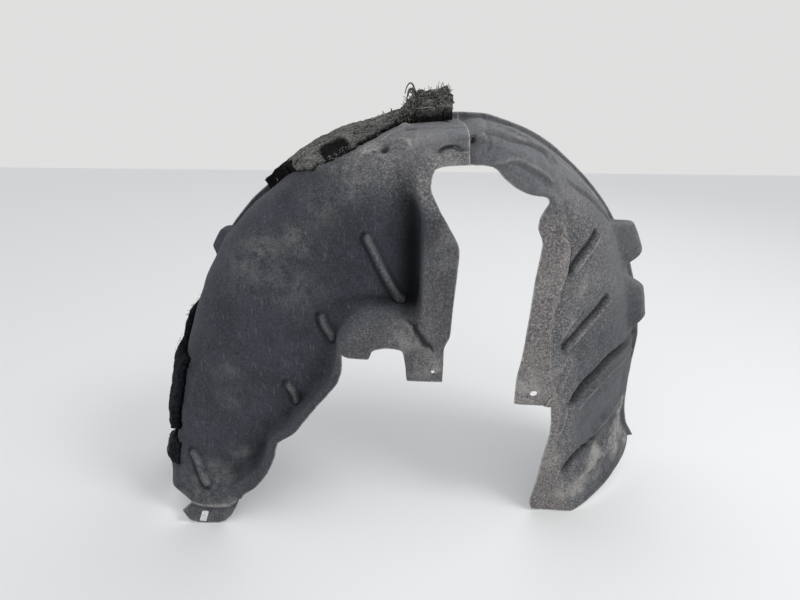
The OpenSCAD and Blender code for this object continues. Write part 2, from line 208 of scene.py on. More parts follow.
def skin(u, v):
    """Bare outer face at line u and place v, 0 at the rim and 1 at the cut edge. From rim to fold the
    section is a squared-off ellipse |a|^n + |b|^n = 1; then comes the fold wall and the flat band."""
    u, v = np.broadcast_arrays(np.asarray(u, float), np.asarray(v, float))
    (edge_x, edge_z, fold_x, fold_z, out_x, out_z, band, dip, square, depth, wall) = np.moveaxis(
        line_at(u), -1, 0)
    out = np.hypot(out_x - fold_x, out_z - fold_z)
    inn = np.hypot(edge_x - fold_x, edge_z - fold_z)
    angle = np.clip((v - flange_end) / (dome_end - flange_end), 0, 1) * math.pi / 2
    c, s = np.abs(np.cos(angle)), np.abs(np.sin(angle))
    q = (c**square + s**square)**(1 / square)
    r = (out - flange) * c / q + flange * np.clip(1 - v / flange_end, 0, 1)
    rise = np.clip((v - dome_end) / (wall_end - dome_end), 0, 1)
    wall = np.minimum(wall, 0.6 * inn)
    t = rise * wall + np.clip((v - wall_end) / (1 - wall_end), 0, 1) * (inn - wall)
    y = (rim_y - (rim_y - depth) * s / q + dip * np.exp(-(r / 28)**2)
         - (band + dip) * ease(rise))
    return np.stack([fold_x + (out_x - fold_x) / out * r + (edge_x - fold_x) / inn * t, y,
                     fold_z + (out_z - fold_z) / out * r + (edge_z - fold_z) / inn * t], -1)


def heel_cut(u, v):
    """Section line of a grid point. The heel is cut off slanting, so its end rises round the shoulder."""
    return u + 0.85 * np.maximum(0, 1 - u / 2) * ease((v - 0.08) / 0.22) * (1 - ease((v - 0.38) / 0.17))


def even_places(u, count):
    """Places v evenly spaced along section line u in mm, with four close rows at either cut edge."""
    v = np.linspace(0, 1, 4001)
    run = np.concatenate([[0], np.cumsum(np.linalg.norm(
        np.diff(skin(np.full_like(v, u), v), axis=0), axis=1))])
    close = np.array([0, 0.6, 1.4, 2.4])
    middle = np.linspace(4, run[-1] - 4, count - 8)
    return np.interp(np.concatenate([close, middle, run[-1] - close[::-1]]), run, v)


def even_lines(first, final, count):
    """Line numbers evenly spaced, with four close ones at either cut end (one line is about 28 mm)."""
    close = np.array([0, 0.022, 0.05, 0.09])
    return np.concatenate([first + close, np.linspace(first + 0.15, final - 0.15, count - 8),
                           final - close[::-1]])


def outward(points):
    """Unit outward direction of a grid of points, from differences between neighbours."""
    n = np.cross(np.gradient(points, axis=1), np.gradient(points, axis=0))
    return n / np.maximum(np.linalg.norm(n, axis=-1, keepdims=True), 1e-9)


def through(spots, count):
    """Smooth curve through the spots, `count` steps to a gap. Each slope is half the step between the two
    neighbours (a Catmull-Rom curve)."""
    spots = np.asarray(spots, float)
    t = np.linspace(0, len(spots) - 1, count * (len(spots) - 1) + 1)
    k = np.minimum(t.astype(int), len(spots) - 2)
    f = (t - k)[:, None]
    wide = np.concatenate([2 * spots[:1] - spots[1:2], spots, 2 * spots[-1:] - spots[-2:-1]])
    a, b, c, d = wide[k], wide[k + 1], wide[k + 2], wide[k + 3]
    return b + 0.5 * f * (c - a + f * (2 * a - 5 * b + 4 * c - d + f * (3 * (b - c) + d - a)))


def beside(p, spots, reach=45):
    """Distance in mm from the points p to the pressed line through (line, place) spots, positive on its
    right as seen from outside, and the place along it from 0 to 1."""
    u, v = through(spots, 8).T
    v = np.clip(v, 0.001, 0.999)
    w = skin(u, v)
    n = np.cross(skin(u, np.minimum(v + 0.01, 1)) - skin(u, v - 0.01), skin(u + 0.1, v) - skin(u - 0.1, v))
    flat = p.reshape(-1, 3)
    near = np.all((flat > w.min(0) - reach) & (flat < w.max(0) + reach), axis=1)
    step = np.diff(w, axis=0)
    q = flat[near][:, None] - w[:-1]
    f = np.clip((q * step).sum(-1) / (step**2).sum(-1), 0, 1)
    off = q - f[..., None] * step
    far = np.linalg.norm(off, axis=-1)
    k = far.argmin(1)
    rows = np.arange(len(k))
    side = np.where((off[rows, k] * np.cross(step, n[:-1])[k]).sum(-1) < 0, -1, 1)
    distance, along = np.full(len(flat), 1e3), np.zeros(len(flat))
    distance[near] = side * far[rows, k]
    along[near] = (k + f[rows, k]) / len(step)
    return distance.reshape(p.shape[:2]), along.reshape(p.shape[:2])


def bar(d, half, high, flat=0.4):
    """Round-topped bead: full height over the middle share `flat`, then a smooth fall to nothing."""
    return high * (1 - ease((np.abs(d) / half - flat) / (1 - flat)))


def crest(d, along, steep, long, high):
    """One-sided fold: falls over `steep` mm on the right, over `long` mm on the left, fades at its ends."""
    return (high * np.where(d > 0, 1 - ease(d / steep), 1 - ease(-d / long))
            * ease(np.minimum(along, 1 - along) / 0.12))


def swell(p):
    """Slow unevenness of pressed felt, in mm: three crossed waves 60 to 150 mm long."""
    x, y, z = np.moveaxis(p, -1, 0)
    return (0.45 * np.sin(x / 17 + 1.3 * np.sin(z / 31)) * np.cos(z / 14 + y / 40)
            + 0.35 * np.sin((x + z) / 11 + 2) * np.sin((z - x) / 19 + y / 23)
            + 0.18 * np.sin(x / 5.5 + y / 9) * np.sin(z / 6.1 + 1))


# pressed beads and grooves: half width, height, painted highlight along the lit side of the top, spots
left_bars = (
    (6.8, 8.5, 0.40, [(22.6, .562), (21.81, .590), (20.38, .628), (18.5, .673)]),
    (6.4, 7.5, 0.40, [(12.94, .645), (12.3, .665), (11.7, .692)]),
    (6.4, 7.5, 0.40, [(8.31, .63), (7.8, .66), (7.2, .69)]),
    (7.5, 5.2, 0.45, [(3.1, .443), (2.45, .479), (1.7, .515), (0.95, .563)]),
    (5.2, -6.0, 0, [(18.19, .772), (19.0, .81), (19.5, .853), (19.69, .883), (20.06, .902)]),
    (3.2, -5.0, 0, [(30.60, .783), (30.46, .757), (30.30, .744), (30.06, .743), (29.79, .758)]),
    (5.0, 3.0, 0.9, [(26.0, .445), (26.62, .432), (27.19, .425), (27.7, .432)]),
    (4.5, 3.0, 0.9, [(28.45, .478), (28.6, .457), (28.81, .455), (28.96, .487), (28.9, .55),
                     (28.7, .565)]),
    (4.0, -2.8, 0, [(29.7, .262), (30.25, .270), (30.5, .275), (30.75, .29)]),
    (4.0, 3.0, 0.9, [(28.31, .385), (28.75, .37), (29.0, .362), (29.25, .345), (29.4, .30)]),
    (3.5, -1.5, 0, [(29.6, .40), (29.94, .362), (30.19, .388), (30.44, .395), (30.9, .405)]))
left_dimples = (                            # line, place, radius, height, pale patch over it
    (29.55, .352, 6, -6, 0), (29.42, .275, 8, 5, 0.6), (28.17, .445, 6.5, -10, 0),
    (25.06, .362, 6, 6, 0.3), (25.4, .395, 5.5, 6, 0.7), (25.75, .422, 5, 4, 0.6), (27.3, .40, 9, 2.5, 0.3),
    (19.81, .963, 6, .6, 0.7))
right_bars = (
    (6.0, -3.5, 0, [(32.31, .12), (32.94, .16), (33.31, .2), (33.75, .288)]),
    (6.0, 3.0, 0.5, [(32.62, .273), (33.19, .288), (33.75, .33)]),
    (6.5, -3.5, 0, [(36.44, .508), (37.38, .45), (38.81, .302), (40.25, .118)]),
    (4.0, 3.0, 0.6, [(32.81, .93), (33.56, .753), (34.25, .695), (35.19, .65), (35.88, .65)]),
    (6.2, 9.0, 0.8, [(40.35, .505), (41.35, .615), (42.35, .672)]),
    (6.0, 9.0, 0.8, [(44.1, .405), (44.95, .54), (45.8, .645)]),
    (9.5, -10.0, 0, [(46.6, .06), (46.95, .36), (47.85, .54), (48.7, .61), (49.62, .652)]),
    (6.0, 3.0, 0.5, [(47.5, .08), (47.9, .33), (48.9, .515), (50.3, .62)]),
    (6.5, -9.0, 0, [(53.0, .47), (53.12, .573), (53.38, .645), (53.62, .682)]),
    (11.0, 5.0, 0.9, [(53.6, .37), (53.85, .50), (54.0, .60), (54.1, .64)]),
    (9.0, 4.0, 1.0, [(54.0, .38), (53.55, .31), (52.8, .20), (52.3, .05)]),
    (6.0, 4.0, 0.6, [(46.5, .628), (46.88, .648), (47.4, .668), (47.8, .685)]),
    (4.5, -1.2, 0, [(55.35, .62), (55.1, .42), (54.75, .22), (54.4, .06)]))
# one-sided folds: steep side, long side, height, pale line along the crest, spots
right_crests = (
    (4, 22, 2.5, 0.35, [(32.0, .73), (31.69, .515), (32.06, .217), (32.06, .02)]),
    (5, 26, 5.0, 0.30, [(31.81, .485), (32.81, .487), (33.75, .415), (34.56, .388), (34.94, .443)]),
    (4, 14, 4.0, 0.9, [(44.19, .693), (43.0, .763), (42.56, .718), (41.94, .723), (41.25, .723),
                       (40.69, .765), (40.31, .845)]),
    (3, 12, 3.0, 0.8, [(45.75, .68), (45.38, .66), (44.94, .628), (44.5, .578)]),
    (5, 8, 1.5, 0.9, [(52.38, .73), (51.75, .685), (50.12, .677), (48.25, .642)]),
    (7, 25, 5.0, 1.5, [(52.69, .463), (52.38, .413), (52.06, .315), (51.38, .16), (50.44, .10), (49.06, .088),
                       (46.75, .03)]),
    (4, 12, 3.0, 1.6, [(53.94, .44), (53.5, .388), (53.25, .318), (53.0, .26)]),
    (2.5, 5, 1.2, 1.7, [(34.4, .36), (35.62, .345), (37.31, .30), (38.8, .19), (40.1, .07)]),
    (2.5, 5, 1.2, 0.6, [(32.2, .30), (33.0, .325), (33.94, .30), (34.6, .36)]),
    (2.5, 6, 1.2, 0.5, [(31.88, .46), (33.06, .465), (34.38, .385), (35.2, .40)]))
right_dimples = ((33.45, .03, 9, 3, 0.2), (31.08, .59, 3.6, -1.5, 0), (31.08, .71, 4.0, -1.5, 0),
                 (47.56, .873, 10, 1.0, 0.9))
# dust lying on the felt: line, place, radius in mm, strength
left_dust = ((15.5, .52, 34, 0.22), (20.69, .44, 22, 0.42), (23.38, .44, 26, 0.35), (3.2, .618, 14, 0.35),
             (25.2, .47, 18, 0.4), (27.9, .38, 16, 0.6), (18.9, .40, 22, 0.25), (8.5, .47, 20, 0.2),
             (6.8, .50, 18, 0.2),
             (1.2, .62, 30, 0.35), (27.4, .45, 30, 0.5), (29.2, .62, 28, 0.5), (17, .40, 40, 0.3),
             (0.6, .50, 40, 0.3), (30.2, .95, 14, 0.6), (24.5, .93, 16, 0.5), (25.6, .97, 14, 0.5),
             (19.6, .95, 24, 0.8), (18.5, .86, 18, 0.5), (17.0, .9, 24, 0.35))
right_dust = ((43.0, .90, 26, 0.5), (47.5, .92, 20, 0.8), (54.2, .50, 26, 0.7), (53.9, .2, 30, 0.6),
              (49.5, .75, 20, 0.5), (45.0, .60, 26, 0.4), (38.0, .62, 30, 0.3), (53.0, .9, 24, 0.8),
              (43.4, .60, 16, 0.7), (53.1, .13, 24, 1.0), (53.9, .27, 18, 0.9), (52.3, .04, 16, 0.8),
              (41.7, .74, 16, 0.7), (54.2, .62, 18, 0.5), (46.6, .66, 16, 0.8),
              (53.62, .473, 12, 1.3), (53.88, .52, 12, 1.3), (53.38, .445, 10, 1.0), (54.56, .09, 16, 1.5),
              (54.19, .255, 14, 1.4), (53.62, .13, 16, 1.3), (54.44, .80, 12, 0.9), (54.5, .66, 12, 1.2),
              (54.44, .62, 12, 1.0), (47.3, .93, 26, 1.0), (46.0, .93, 18, 0.5))
# shade that gathers in the deep folds: line, place, radius in mm, strength
left_shade = ((25.6, .672, 13, 0.5), (24.7, .674, 16, 0.7), (23.6, .676, 17, 0.85), (22.5, .678, 17, 0.85),
              (21.4, .680, 17, 0.85), (20.3, .684, 16, 0.85), (19.2, .694, 14, 0.7), (18.3, .700, 10, 0.45),
              (7.4, .71, 12, 0.5), (6.2, .70, 14, 0.45), (5.0, .70, 15, 0.5), (3.8, .70, 15, 0.5),
              (2.6, .70, 14, 0.5), (1.5, .70, 12, 0.5))
right_shade = ((52.3, .25, 18, 0.5), (51.9, .37, 14, 0.35), (31.08, .59, 4.2, 2.0), (31.05, .65, 2.4, 2.0),
               (31.08, .71, 4.8, 2.0))
bosses = ((39.95, 42.9, 0.19, 30), (43.2, 46.2, 0.17, 22), (14.7, 17.5, 0.19, 15))   # lines, reach, height


def moulded(us, vs, under, bars, crests, dimples, dust, shade, grey, warm, calm):
    """Outer and inner faces of a stretch of sheet, with the per-point values that its felt reads:
    cut (near a cut edge), rub (dust, pale patches and painted highlights), soot (painted shade in the
    grooves, folds and hollows), grey, warm and calm."""
    u, v = np.meshgrid(us, vs, indexing="ij")
    u = heel_cut(u, v)
    bare = skin(u, v)
    for _ in range(3):                      # even out the table's kinks
        mean = (bare[:-2, 1:-1] + bare[2:, 1:-1] + bare[1:-1, :-2] + bare[1:-1, 2:]) / 4
        bare[4:-4, 4:-4] += 0.5 * (mean - bare[1:-1, 1:-1])[3:-3, 3:-3]
    n = outward(bare)
    h, rub, soot, lit_bead_top = under(u) + swell(bare), np.zeros(u.shape), np.zeros(u.shape), np.zeros(u.shape)
    for half, high, pale, spots in bars:
        d, along = beside(bare, spots)
        h += bar(d, half, high)
        # painted highlight: the bead's top is paled on the side away from its dark line
        rub += pale * bar(d + 0.3 * half, half * 0.65, 1, 0)
        if high < 0:                        # a groove is darkest under its upper left edge
            # painted shade along the groove's upper left edge
            soot += crest(d - 0.4 * half, along, 2.5, 1.9 * half, 0.16 * abs(high))
        elif high > 5:
            # painted shade: dark lines along both sides of a tall bead, the heavier on one side; painted
            # light: the bead's top, shifted away from that line, gets the paler speckled felt and no shade
            soot += 1.1 * bar(d - half - 1.0, 4.6, 1, 0.2) + 0.45 * bar(d + half * 1.2, 3.6, 1, 0)
            lit_bead_top += bar(d + 0.15 * half, half * 0.8, 0.35, 0.5)
    for steep, long, high, pale, spots in crests:
        d, along = beside(bare, spots)
        h += crest(d, along, steep, long, high)
        rub += pale * bar(d, 2.6, 1, 0) * ease(np.minimum(along, 1 - along) / 0.08)
        # painted shade just past the foot of the fold's steep side
        soot += (0.5 if high > 2 else 0.25) * bar(d - steep * 1.2, steep, 1, 0)
    for line, place, size, high, pale in dimples:
        at = np.linalg.norm(bare - skin(line, place), axis=-1)
        h += high * np.exp(-(at / size)**2)
        rub += pale * np.exp(-(at / size)**2)
        # painted shade in the hollow of a sunk dimple
        soot += (0.9 if high < 0 else 0) * np.exp(-(at / size)**4)
    for u0, u1, v1, high in bosses:
        a = np.minimum(u - u0, u1 - u) / (u1 - u0) * 6 / 1.7
        b = np.minimum(v - 0.045, v1 - v) / (v1 - 0.045) * 4 / 1.3
        h += high * ease(a) * ease(b)
    for line, place, size, strength in dust:
        rub += strength * np.exp(-(np.linalg.norm(bare - skin(line, place), axis=-1) / size)**2)
    for line, place, size, strength in shade:
        soot += strength * np.exp(-(np.linalg.norm(bare - skin(line, place), axis=-1) / size)**2)
    outer = bare + n * h[..., None]
    n = outward(outer)
    edge = np.minimum.reduce([np.linalg.norm(outer - side, axis=-1) for side in (
        outer[:, -1:], outer[:, :1], outer[:1], outer[-1:])])
    squeeze = 1.0 * np.exp(-(edge / 1.5)**2)
    inner = outer - n * (sheet - squeeze)[..., None]
    outer = outer - n * squeeze[..., None]
    hidden = ease((0.6 - (us[:, None] + 0 * v)) / 0.3) * ease((v - 0.46) / 0.03)   # behind the foot plate
    fields = {"cut": np.exp(-(edge / 1.4)**2) * (1 - hidden), "rub": rub,
              "soot": np.minimum(soot, 1) * (1 - lit_bead_top), "grey": np.minimum(grey(u, v) + lit_bead_top, 1),
              "warm": warm(u, v), "calm": calm(u, v)}
    return outer + shift, inner + shift, fields


def sheet_faces(outer, inner, holes=()):
    """Faces of a closed sheet between an outer and an inner grid of points, joined around its cut edges.
    Each hole is (x, z, rx, rz, where): its cells are left out, and the ring around it is drawn onto it."""
    m, n = outer.shape[:2]
    keep = np.ones((m - 1, n - 1), bool)
    for x, z, rx, rz, where in holes:
        at = ((outer[..., 0] - x) / rx, (outer[..., 2] - z) / rz)
        middle = [(g[:-1, :-1] + g[1:, :-1] + g[:-1, 1:] + g[1:, 1:]) / 4 for g in at]
        gone = (np.hypot(*middle) < 1) & where[:-1, :-1]
        keep &= ~gone
        touch = np.zeros((m, n), bool)
        held = np.zeros((m, n), bool)
        for i in (0, 1):
            for j in (0, 1):
                touch[i:m - 1 + i, j:n - 1 + j] |= gone
                held[i:m - 1 + i, j:n - 1 + j] |= ~gone
        ring = touch & held
        far = np.hypot(*at)[ring]
        for grid in (outer, inner):
            grid[ring, 0] = x + at[0][ring] / far * rx
            grid[ring, 2] = z + at[1][ring] / far * rz
    a = np.arange(m * n).reshape(m, n)
    b = a + m * n
    faces = [np.stack(corners, -1)[keep] for corners in (
        (a[:-1, :-1], a[:-1, 1:], a[1:, 1:], a[1:, :-1]),
        (b[:-1, :-1], b[1:, :-1], b[1:, 1:], b[:-1, 1:]))]
    wide = np.pad(keep, 1)
    for axis in (0, 1):                     # a wall wherever a kept cell has no kept neighbour
        for sign in (0, 1):
            i, j = np.nonzero(keep & ~np.roll(wide, 1 if sign == 0 else -1, axis)[1:-1, 1:-1])
            p, q = ((i + sign, j), (i + sign, j + 1)) if axis == 0 else ((i, j + sign), (i + 1, j + sign))
            if (axis == 0) == (sign == 0):
                p, q = q, p
            faces.append(np.stack([a[p], a[q], b[q], b[p]], -1))
    return np.concatenate(faces)


def solid(name, parts):
    """Object from closed parts (points in mm, faces, values per point), without the points no face uses."""
    points, faces, count = [], [], 0
    fields = {key: [] for key in parts[0][2]}
    for part_points, part_faces, part_fields in parts:
        points.append(part_points.reshape(-1, 3))
        faces.append(part_faces + count)
        count += len(points[-1])
        for key in fields:
            fields[key].append(np.broadcast_to(part_fields.get(key, 0.0), len(points[-1])))
    points, faces = np.concatenate(points) * MM, np.concatenate(faces)
    used = np.unique(faces)
    order = np.full(len(points), -1)
    order[used] = np.arange(len(used))
    faces = order[faces]
    mesh = bpy.data.meshes.new(name)
    mesh.vertices.add(len(used))
    mesh.vertices.foreach_set("co", points[used].astype(np.float32).ravel())
    mesh.loops.add(faces.size)
    mesh.loops.foreach_set("vertex_index", faces.astype(np.int32).ravel())
    mesh.polygons.add(len(faces))
    mesh.polygons.foreach_set("loop_start", np.arange(0, faces.size, 4, dtype=np.int32))
    mesh.polygons.foreach_set("loop_total", np.full(len(faces), 4, np.int32))
    mesh.update(calc_edges=True)
    mesh.validate()
    mesh.shade_smooth()
    mesh.set_sharp_from_angle(angle=math.radians(60))
    for key, values in fields.items():
        layer = mesh.attributes.new(key, "FLOAT", "POINT")
        layer.data.foreach_set("value", np.concatenate(values)[used].astype(np.float32))
    thing = bpy.data.objects.new(name, mesh)
    bpy.context.scene.collection.objects.link(thing)
    return thing


def sheet_part(outer, inner, fields, holes=()):
    """Part of a solid from the two faces of a sheet. The hidden inner face gets less dust, painted
    highlight and painted shade.
    """
    faces = sheet_faces(outer, inner, holes)
    values = {key: np.concatenate([f.ravel(), f.ravel() * (0.3 if key in ("rub", "soot") else 1)])
              for key, f in fields.items()}
    return np.concatenate([outer.reshape(-1, 3), inner.reshape(-1, 3)]), faces, values


def rows(curve, count):
    """Points spaced evenly along a polyline of (x, y, z) corners."""
    curve = np.asarray(curve, float)
    run = np.concatenate([[0], np.cumsum(np.linalg.norm(np.diff(curve, axis=0), axis=1))])
    at = np.linspace(0, run[-1], count)
    return np.stack([np.interp(at, run, c) for c in curve.T], -1)


left_us, left_vs = even_lines(0, seam, 284), even_places(24.0, 154)
left_u, left_v = np.meshgrid(left_us, left_vs, indexing="ij")
left_outer, left_inner, left_fields = moulded(
    left_us, left_vs, lambda u: np.zeros(u.shape), left_bars, (), left_dimples, left_dust, left_shade,
    lambda u, v: 0.12 + 0.88 * ease((u - 23.5) / 5) * (
        1 - 0.5 * ease((v - 0.5) / 0.15) * ease((27.5 - u) / 2))
    + (0.10 + 0.28 * ease((u - 9) / 3)) * ease((v - 0.76 + 0.045 * ease(u - 11) * ease(20.5 - u)) / 0.04)
    * ease((26 - u) / 3),
    lambda u, v: (0.3 + 0.1 * ease((u - 9) / 3)) * ease((v - 0.76) / 0.06),
    lambda u, v: 0.75 * ease((u - 27) / 3) * (1 - ease((v - 0.7) / 0.1))
    + 0.4 * ease((v - 0.74) / 0.05) * ease((26 - u) / 3))
left_hole = (18.0, 283.0, tongue_hole, tongue_hole, (left_v > 0.85) & (left_u > 18) & (left_u < 22))
# The foot plate: the heel's end is turned out flat against the floor, below a fold with a painted highlight
# along it.
plate_v = np.linspace(0.47, 0.985, 9)
guides = [rows(guide, 110) for guide in (
    skin(heel_cut(0.0, plate_v) + 0.34, plate_v) + [0, 1.6, 0],
    skin(heel_cut(0.0, plate_v) + 0.14, plate_v) + [0, -0.5, 0],
    [(-364, -84.4, 37.5), (-352, -85.6, 33.1), (-339, -85.9, 30.5), (-322, -85.9, 29.5), (-305, -85.9, 31),
     (-297, -85.6, 37), (-291, -85.2, 44)],
    [(-367, -84.6, 34.5), (-353, -84.9, 29.6), (-339, -85.0, 27.2), (-322, -85.0, 26.4), (-304, -85, 28.4),
     (-295.5, -85, 35.5), (-290, -85.2, 43.6)],
    [(-379.7, -87, 23), (-374.5, -87.6, 12), (-369.1, -88, 3.7), (-357.2, -88.4, 0.9), (-344.6, -88.6, 0.2),
     (-325.9, -88.6, 0.3), (-314, -88.2, 4.5), (-305, -87.6, 12.5), (-295.8, -86.6, 27.9),
     (-289.4, -85.4, 42.6)])]
steps = (0, 6, 12, 15, 40)
plate_outer = np.stack([np.stack([np.interp(np.arange(41), steps, [g[i, k] for g in guides])
                                  for k in range(3)], -1) for i in range(110)])
for _ in range(2):
    plate_outer[:, 1:-1] = (plate_outer[:, :-2] + 2 * plate_outer[:, 1:-1] + plate_outer[:, 2:]) / 4
plate_inner = plate_outer + [0, 3.2, 0]
down = np.broadcast_to(np.arange(41) / 40, (110, 41))
rim = np.minimum.reduce([np.linalg.norm(plate_outer - side, axis=-1) for side in (
    plate_outer[:, -1:], plate_outer[:1], plate_outer[-1:])])
# painted highlight: a pale line along the fold, over light dust everywhere; painted shade: a dark band below
# the fold
plate_fields = {"cut": np.exp(-(rim / 1.1)**2) * ease((down - 0.3) / 0.1),
                "rub": 0.9 * np.exp(-((down - 0.29) / 0.03)**2) + 0.25,
                "soot": 0.5 * np.exp(-((down - 0.42) / 0.07)**2), "grey": 0.3 + 0 * down,
                "warm": 0 * down, "calm": 0 * down}
left_felt = solid("left_felt", [
    sheet_part(left_outer, left_inner, left_fields, [left_hole]),
    sheet_part(plate_outer + shift, plate_inner + shift, plate_fields)])
right_us = np.concatenate([even_lines(seam - lap, seam + 0.9, 30)[:-4],
                           even_lines(seam + 0.9, last, 250)[4:]])
right_vs = even_places(42.0, 158)
right_u, right_v = np.meshgrid(right_us, right_vs, indexing="ij")
right_outer, right_inner, right_fields = moulded(
    right_us, right_vs, lambda u: -(sheet + seat) * (1 - ease((u - seam - 0.05) / 0.5)),
    right_bars, right_crests, right_dimples, right_dust, right_shade,
    lambda u, v: 1 - 0.45 * ease((u - 43) / 3) * ease((0.66 - v) / 0.1),
    lambda u, v: ease((v - 0.68) / 0.05) * ease((u - 38) / 3),
    lambda u, v: np.maximum.reduce([0.75 * (1 - ease((u - 36) / 4)), 0.6 * (1 - ease((v - 0.25) / 0.2)),
                                    0.8 * ease(u - 49.2) * ease((53 - u) / 0.8) * ease((0.66 - v) / 0.06)]))
right_felt = solid("right_felt", [sheet_part(right_outer, right_inner, right_fields, [
    (174.0, 222.0, tab_hole, tab_hole, (right_v > 0.8) & (right_u > 45) & (right_u < 49.5))])])


def new_paint(name, roughness, shine):
    """Material with its roughness and specular level, and the ways used here to make and join its nodes."""
    paint = bpy.data.materials.new(name)
    paint.use_nodes = True
    t = paint.node_tree
    bsdf = t.nodes["Principled BSDF"]
    bsdf.inputs["Roughness"].default_value = roughness
    bsdf.inputs["Specular IOR Level"].default_value = shine
    where = t.nodes.new("ShaderNodeTexCoord").outputs["Object"]

    def join(socket, value):
        if isinstance(value, tuple):
            socket.default_value = (*value, 1)
        elif isinstance(value, (float, int)):
            socket.default_value = value
        else:
            t.links.new(value, socket)

    def node(kind, **inputs):
        made = t.nodes.new(kind)
        for key, value in inputs.items():
            join(made.inputs[key.replace("_", " ")], value)
        return made

    def field(key):
        made = node("ShaderNodeAttribute")
        made.attribute_name = key
        return made.outputs["Fac"]

    def noise(scale, detail, rough, source=where, turn=None, stretch=(1, 1, 1)):
        if turn:
            mapping = node("ShaderNodeMapping", Vector=source)
            mapping.inputs["Rotation"].default_value = turn
            mapping.inputs["Scale"].default_value = stretch
            source = mapping.outputs["Vector"]
        made = node("ShaderNodeTexNoise", Scale=scale, Detail=detail, Roughness=rough, Vector=source)
        return made.outputs["Fac"]

    def ramp(value, low, high, kind="SMOOTHSTEP"):
        made = node("ShaderNodeMapRange", Value=value, From_Min=low, From_Max=high)
        made.interpolation_type = kind
        return made.outputs["Result"]

    def blend(fac, a, b):
        made = node("ShaderNodeMix")
        made.data_type = "RGBA"
        for key, value in (("Factor", fac), ("A", a), ("B", b)):
            join(made.inputs[key], value)
        return made.outputs["Result"]

    def maths(kind, a, b, clamp=False):
        made = node("ShaderNodeMath")
        made.operation, made.use_clamp = kind, clamp
        join(made.inputs[0], a)
        join(made.inputs[1], b)
        return made.outputs[0]

    def finish(colour, height, strength, distance):
        bump = node("ShaderNodeBump", Height=height, Strength=strength, Distance=distance)
        join(bsdf.inputs["Normal"], bump.outputs["Normal"])
        join(bsdf.inputs["Base Color"], colour)
        return paint

    return (bsdf, node), (field, noise, ramp, blend, maths, finish)


def times(colour, *by):
    """Colour with each channel multiplied, by one number or by one for each channel."""
    return tuple(c * k for c, k in zip(colour, by if len(by) == 3 else by * 3))


def felt_paint(name, dark, felt, light):
    """Needle felt. Where `grey` is 0 it is pressed dark and smooth with faint scratches; where it is 1
    it is salt-and-pepper with clumps of 2 to 3 mm. `calm` evens that out, `warm` turns it brownish, `rub`
    lays dust and painted highlights on it, and `soot` is painted shade in the grooves and beside beads.
    Cut edges are pale, partly from the cut fibres and partly as a painted highlight."""
    (bsdf, _), (field, noise, ramp, blend, maths, finish) = new_paint(name, 0.88, 0.2)
    bsdf.inputs["Sheen Weight"].default_value = 0.05
    bsdf.inputs["Sheen Roughness"].default_value = 0.6
    grey, warm, rub, soot = field("grey"), field("warm"), field("rub"), field("soot")
    mottle = ramp(noise(22, 4, 0.60), 0.34, 0.66)
    small_mottle = ramp(noise(95, 4, 0.65), 0.36, 0.64)
    clumps, grains = noise(330, 3.5, 0.68), noise(620, 3, 0.65)
    light_clumps, dark_clumps = ramp(clumps, 0.50, 0.66), ramp(clumps, 0.49, 0.34)
    grit = ramp(grains, 0.50, 0.68)
    hairs = 0.0
    for scale, turn, low in ((330, (0.3, 0.8, 0.9), 0.63), (300, (0.9, -0.9, 0.2), 0.64),
                             (360, (0.2, 0.1, 1.4), 0.63), (280, (0.5, 1.4, 0.3), 0.64)):
        scratch = ramp(noise(scale, 2.5, 0.6, turn=turn, stretch=(1, 1, 0.13)), low, low + 0.09)
        hairs = maths("MAXIMUM", scratch, hairs)

    def spread(colour, *layers):
        for mask, share, over in layers:
            colour = blend(maths("MULTIPLY", mask, share), colour, over)
        return colour

    smooth = spread(blend(mottle, dark, times(dark, 1.55, 1.60, 1.62)),
                    (small_mottle, 0.35, times(dark, 1.9)), (grit, 0.28, times(dark, 3.0)),
                    (dark_clumps, 0.35, times(dark, 0.55)), (hairs, 0.16, light))
    body = spread(blend(mottle, times(felt, 0.85), times(felt, 1.22)),
                  (small_mottle, 0.4, times(felt, 1.35)), (dark_clumps, 0.74, times(felt, 0.30)),
                  (light_clumps, 0.62, light), (grit, 0.36, light))
    brown = (0.44, 0.405, 0.375)
    warm_body = spread(times(felt, 1.65, 1.52, 1.44), (light_clumps, 0.68, brown), (grit, 0.35, brown),
                       (dark_clumps, 0.70, (0.040, 0.038, 0.038)))
    calm_body = spread(blend(small_mottle, times(felt, 1.25), times(felt, 1.65)), (grit, 0.16, light),
                       (hairs, 0.22, light))
    colour = blend(grey, smooth, blend(warm, blend(field("calm"), body, calm_body), warm_body))
    dust = ramp(maths("ADD", grains, noise(48, 4, 0.7)), 0.80, 1.22)
    broken = maths("ADD", maths("MULTIPLY", ramp(noise(140, 3, 0.6), 0.38, 0.58), 0.6), 0.3)
    # dust and painted highlight: pale colour through the dust mask; painted shade: near black; cut edges:
    # pale fibre colour with a painted highlight
    colour = spread(colour, (maths("MULTIPLY", dust, rub, True), 0.78, (0.38, 0.365, 0.34)),
                    (soot, 0.86, (0.006, 0.0065, 0.008)), (field("cut"), broken, (0.46, 0.45, 0.42)))
    return finish(colour, maths("ADD", noise(600, 4, 0.7), maths("MULTIPLY", clumps, 0.9)), 0.5, 0.0008)


for piece, node, slot in ((left_felt, "left_shell", "felt_dark"), (right_felt, "right_shell", "felt_grey")):
    piece.data.materials.append(felt_paint(slot, (0.021, 0.0235, 0.030), (0.092, 0.093, 0.098),
                                           (0.34, 0.335, 0.33)))
    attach(piece, "root")
    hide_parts(node)

# ---------------------------------------------------------------- the pads of thick felt
# Loose blocks of shoddy felt are glued on the tread side: a large one over the left shoulder, torn and
# frayed at its right end where it has come unstuck, and two black ones on the leg.


